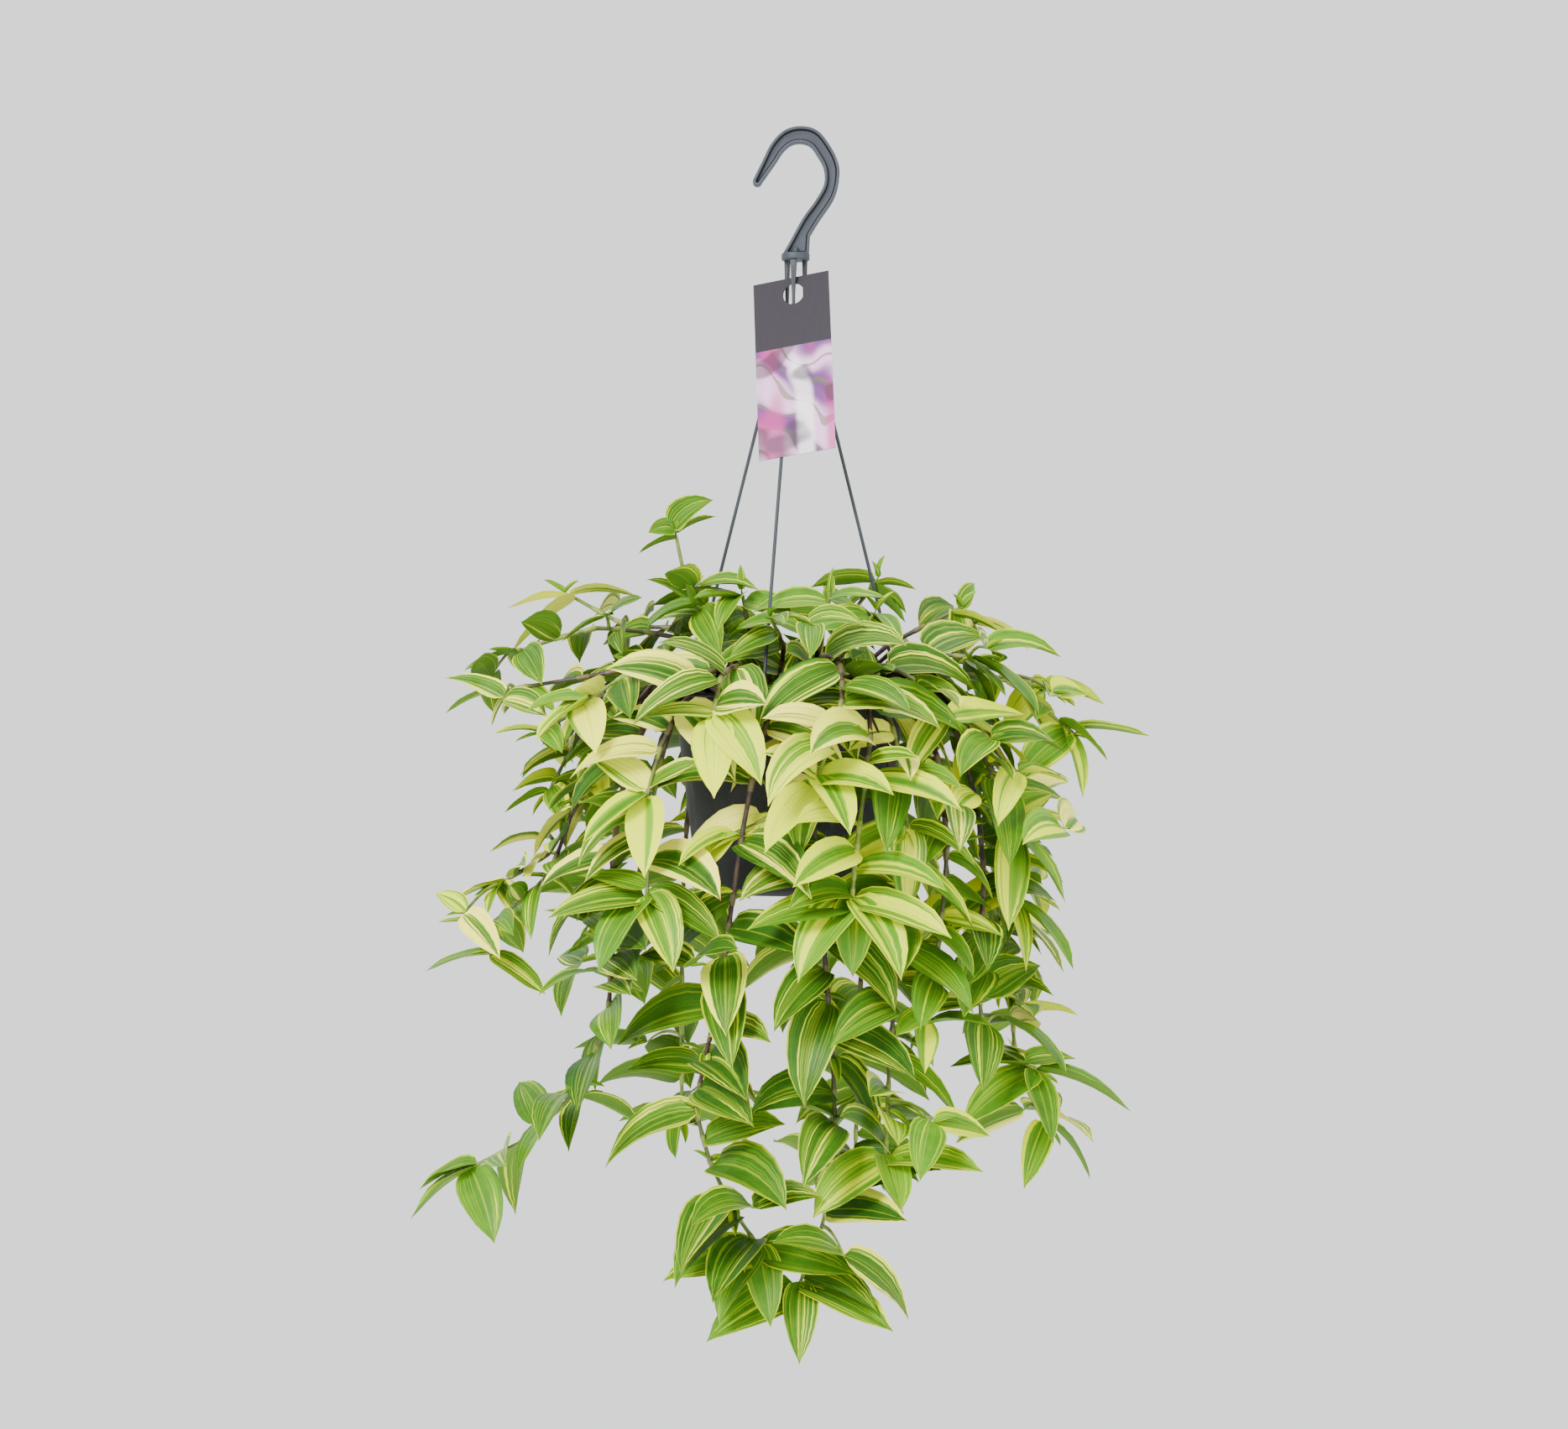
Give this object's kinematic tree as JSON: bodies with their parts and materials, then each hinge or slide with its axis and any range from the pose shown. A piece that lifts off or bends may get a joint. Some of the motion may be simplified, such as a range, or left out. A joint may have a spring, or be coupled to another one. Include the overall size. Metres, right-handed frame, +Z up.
{
  "type": "potted tradescantia",
  "caption": "Hanging nursery pot with a hook, a card tag and a variegated trailing tradescantia that hides most of the pot.",
  "frame": {"origin": "inner crown of the hook, the point that a rail or a ceiling hook carries", "axes": "+Z up along the line from the pot to the hook, -Y toward the front that the picture shows, +X to the right of that view"},
  "size_m": [0.4656, 0.3505, 0.7715],
  "materials": {
    "hook_plastic": "satin, blue grey",
    "rod_plastic": "satin, dark grey",
    "card": "printed card, two plain fields of colour",
    "pot_plastic": "satin, charcoal",
    "soil": "matte, crumbly potting soil of peat and bark",
    "foliage_cream": "fleshy leaf, cream with green stripes, satin",
    "foliage_lime": "fleshy leaf, lime and cream stripes, satin",
    "foliage_green": "fleshy leaf, green with narrow pale stripes, satin"
  },
  "bodies": {
    "root": {"hook": "hook_plastic", "rod_left": "rod_plastic", "rod_front": "rod_plastic", "rod_right": "rod_plastic", "tag": "card", "pot": "pot_plastic", "soil": "soil", "stem_01": "foliage_cream", "stem_02": "foliage_cream", "stem_03": "foliage_lime", "stem_04": "foliage_lime", "stem_05": "foliage_cream", "stem_06": "foliage_cream", "stem_07": "foliage_green", "stem_08": "foliage_green", "stem_09": "foliage_green", "stem_10": "foliage_green", "stem_11": "foliage_lime", "stem_12": "foliage_green", "stem_13": "foliage_lime", "stem_14": "foliage_cream", "stem_15": "foliage_cream", "stem_16": "foliage_green", "stem_17": "foliage_lime", "stem_18": "foliage_cream", "stem_19": "foliage_green", "stem_20": "foliage_lime", "stem_21": "foliage_lime", "stem_22": "foliage_cream", "stem_23": "foliage_cream", "stem_24": "foliage_green", "stem_25": "foliage_green", "stem_26": "foliage_lime", "stem_27": "foliage_cream", "stem_28": "foliage_lime", "stem_29": "foliage_cream", "stem_30": "foliage_lime", "stem_31": "foliage_lime", "stem_32": "foliage_lime", "stem_33": "foliage_lime", "stem_34": "foliage_cream", "stem_35": "foliage_cream", "stem_36": "foliage_green", "stem_37": "foliage_green", "stem_38": "foliage_lime", "stem_39": "foliage_cream", "stem_40": "foliage_lime", "stem_41": "foliage_green", "stem_42": "foliage_green", "stem_43": "foliage_cream", "stem_44": "foliage_lime", "stem_45": "foliage_green", "stem_46": "foliage_green", "stem_47": "foliage_lime", "stem_48": "foliage_cream", "stem_49": "foliage_green"}
  },
  "joints": []
}
